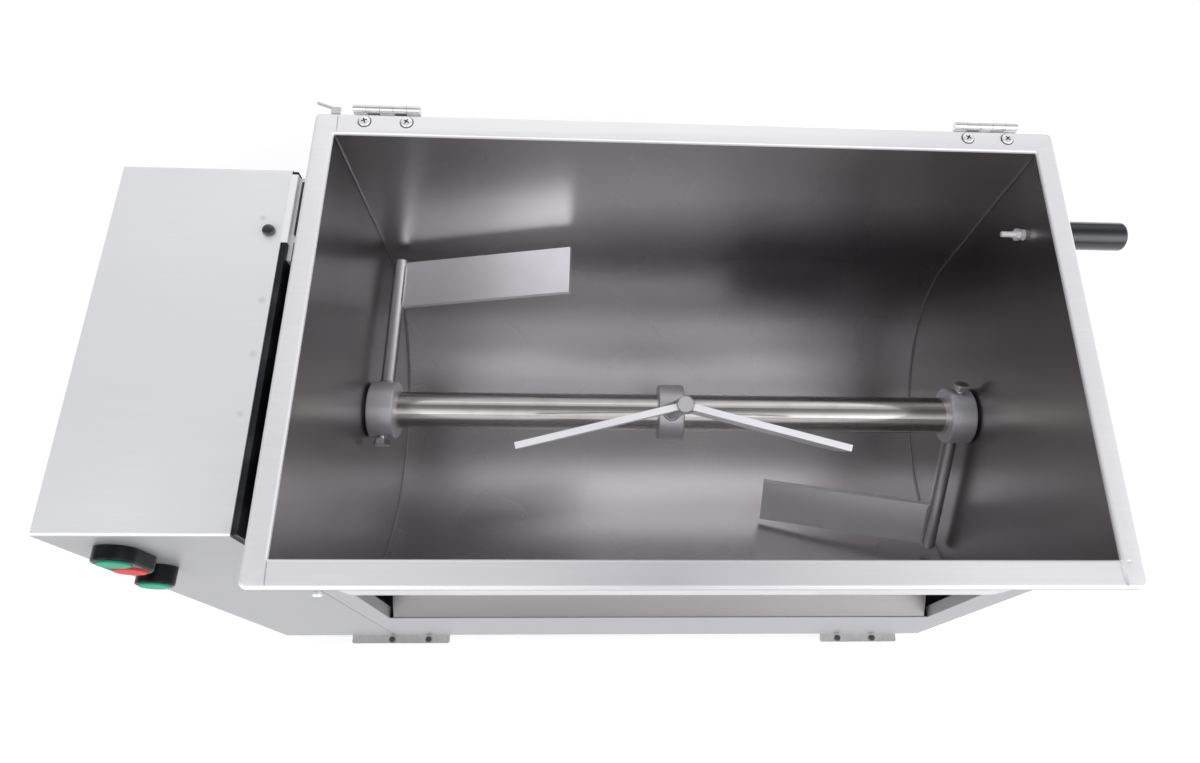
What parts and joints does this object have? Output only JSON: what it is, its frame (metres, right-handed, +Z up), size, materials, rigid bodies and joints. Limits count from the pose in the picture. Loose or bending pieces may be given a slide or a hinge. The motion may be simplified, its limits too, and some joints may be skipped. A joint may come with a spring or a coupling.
{
  "type": "tilting paddle meat mixer",
  "caption": "Floor-standing mixer for minced meat: a tilting steel trough with a paddle shaft beside a tall drive cabinet, with a hinged lid and push buttons.",
  "frame": {"origin": "on the floor under the middle of the whole machine's box", "axes": "+X along the mixing shaft away from the drive cabinet, +Y to the back where the lid's hinges are, +Z up"},
  "size_m": [0.942, 0.4482, 0.646],
  "materials": {
    "tank_steel": "satin, dull inside",
    "rim_steel": "fine brushed",
    "cabinet_steel": "fine brushed",
    "fascia_steel": "fine brushed",
    "frame_black": "powder coated, semi matt",
    "shaft_steel": "ground and polished",
    "paddle_steel": "bead blasted, matt",
    "handle_black": "glossy",
    "bezel_black": "glossy",
    "button_green": "glossy",
    "button_red": "glossy",
    "rubber_black": "matt",
    "seal_grey": "matt",
    "bronze": "machined",
    "screw_steel": "zinc plated or stainless",
    "dark_bolt": "blackened",
    "gear_steel": "machined, oiled",
    "gearbox_alloy": "cast",
    "motor_paint": "semi gloss",
    "contactor_plastic": "matt",
    "gland_plastic": "matt",
    "bearing_iron": "painted black"
  },
  "bodies": {
    "frame": {"cabinet_shell": "cabinet_steel", "service_cover": "cabinet_steel", "cover_screws": "screw_steel", "cabinet_top_plug": "handle_black", "drive_side_plate": "frame_black", "right_side_plate": "frame_black", "right_side_skin": "fascia_steel", "front_fascia": "fascia_steel", "rear_fascia": "fascia_steel", "belly_guard": "fascia_steel", "base_pan": "fascia_steel", "floor_rails": "frame_black", "foot_plates": "screw_steel", "rubber_feet": "rubber_black", "frame_bolts": "dark_bolt", "rest_bracket": "fascia_steel", "rest_pad": "rubber_black", "left_bearing_housing": "bearing_iron", "right_bearing_housing": "bearing_iron", "trunnion_bushes": "bronze", "drive_carrier": "frame_black", "carrier_spacers": "screw_steel", "outboard_bearing": "bearing_iron", "gearbox_housing": "gearbox_alloy", "motor_body": "motor_paint", "motor_fan_cowl": "motor_paint", "motor_terminal_box": "motor_paint", "contactor": "contactor_plastic", "switch_bezel": "bezel_black", "jog_bezel": "bezel_black", "contact_blocks": "contactor_plastic", "cable_gland": "gland_plastic"},
    "tank": {"trough_shell": "tank_steel", "end_wall_left": "tank_steel", "end_wall_right": "tank_steel", "rim_frame": "rim_steel", "trunnions": "screw_steel", "shaft_seals": "seal_grey", "shaft_bushes": "bronze", "handle_grip": "handle_black", "handle_stud": "screw_steel", "handle_nuts": "screw_steel", "hinge_fixed_leaves": "rim_steel", "hinge_pins": "screw_steel", "hinge_screws": "screw_steel", "lid_safety_tab": "rim_steel"},
    "lid": {"lid_panel": "rim_steel", "lid_handle": "screw_steel", "hinge_moving_leaves": "rim_steel"},
    "agitator": {"mixer_shaft": "shaft_steel", "paddle_collars": "paddle_steel", "paddle_arms": "paddle_steel", "paddle_blades": "paddle_steel", "clamp_bolts": "screw_steel", "drive_gear": "gear_steel", "gear_key": "gear_steel"},
    "pinion": {"drive_pinion": "gear_steel"},
    "start_button": {"start_button": "button_green"},
    "stop_button": {"stop_button": "button_red"},
    "jog_button": {"jog_button": "button_green"}
  },
  "joints": [
    {"name": "tank_tilt", "type": "hinge", "parent": "frame", "child": "tank", "pos_m": [0.041, -0.00464, 0.408], "axis": [1, 0, 0], "range_deg": [0, 90]},
    {"name": "lid_swing", "type": "hinge", "parent": "tank", "child": "lid", "pos_m": [0.041, 0.21381, 0.6422], "axis": [1, 0, 0], "range_deg": [0, 268.6]},
    {"name": "agitator_spin", "type": "hinge", "parent": "frame", "child": "agitator", "pos_m": [0.041, -0.00464, 0.408], "axis": [1, 0, 0], "continuous": true},
    {"name": "pinion_spin", "type": "hinge", "parent": "frame", "child": "pinion", "pos_m": [-0.349, -0.00464, 0.289], "axis": [1, 0, 0], "continuous": true},
    {"name": "start_button_press", "type": "slide", "parent": "frame", "child": "start_button", "axis": [0, 0.9984, -0.0571], "range_m": [0, 0.004], "stiffness_N_per_m": 500},
    {"name": "stop_button_press", "type": "slide", "parent": "frame", "child": "stop_button", "axis": [0, 0.9984, -0.0571], "range_m": [0, 0.004], "stiffness_N_per_m": 500},
    {"name": "jog_button_press", "type": "slide", "parent": "frame", "child": "jog_button", "axis": [0, 0.9984, -0.0571], "range_m": [0, 0.004], "stiffness_N_per_m": 500}
  ],
  "couplings": [
    {"joint": "pinion_spin", "follows": "agitator_spin", "ratio": -3}
  ]
}
